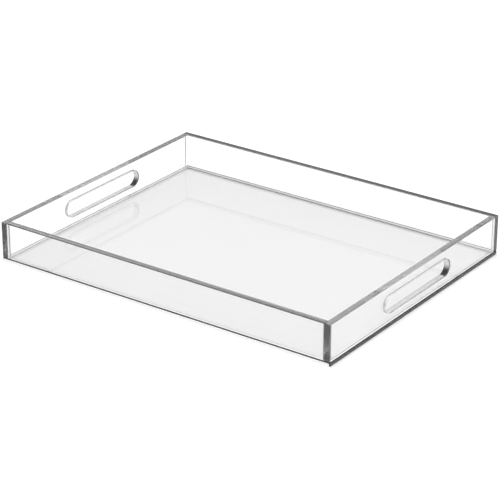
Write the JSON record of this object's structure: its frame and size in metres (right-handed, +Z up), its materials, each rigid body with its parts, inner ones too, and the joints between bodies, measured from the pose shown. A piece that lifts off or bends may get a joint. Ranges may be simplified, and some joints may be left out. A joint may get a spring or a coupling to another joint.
{
  "type": "dresser vanity tray",
  "caption": "Rectangular clear acrylic vanity tray with low upright walls, polished edges and a round-ended hand slot through each end wall, for perfume bottles and small accessories.",
  "frame": {"origin": "centre of the underside of the base panel, on the surface the tray stands on", "axes": "+Z up, +X along the long side towards the right end wall, +Y across the tray towards the back wall"},
  "size_m": [0.457, 0.355, 0.05],
  "materials": {
    "clear_acrylic": "gloss",
    "cured_cement": "satin"
  },
  "bodies": {
    "root": {"base_panel": "clear_acrylic", "front_wall": "clear_acrylic", "back_wall": "clear_acrylic", "left_end_wall": "clear_acrylic", "right_end_wall": "clear_acrylic", "base_seam_front": "cured_cement", "base_seam_back": "cured_cement", "base_seam_left": "cured_cement", "base_seam_right": "cured_cement", "corner_seam_front_left": "cured_cement", "corner_seam_front_right": "cured_cement", "corner_seam_back_left": "cured_cement", "corner_seam_back_right": "cured_cement"}
  },
  "joints": []
}
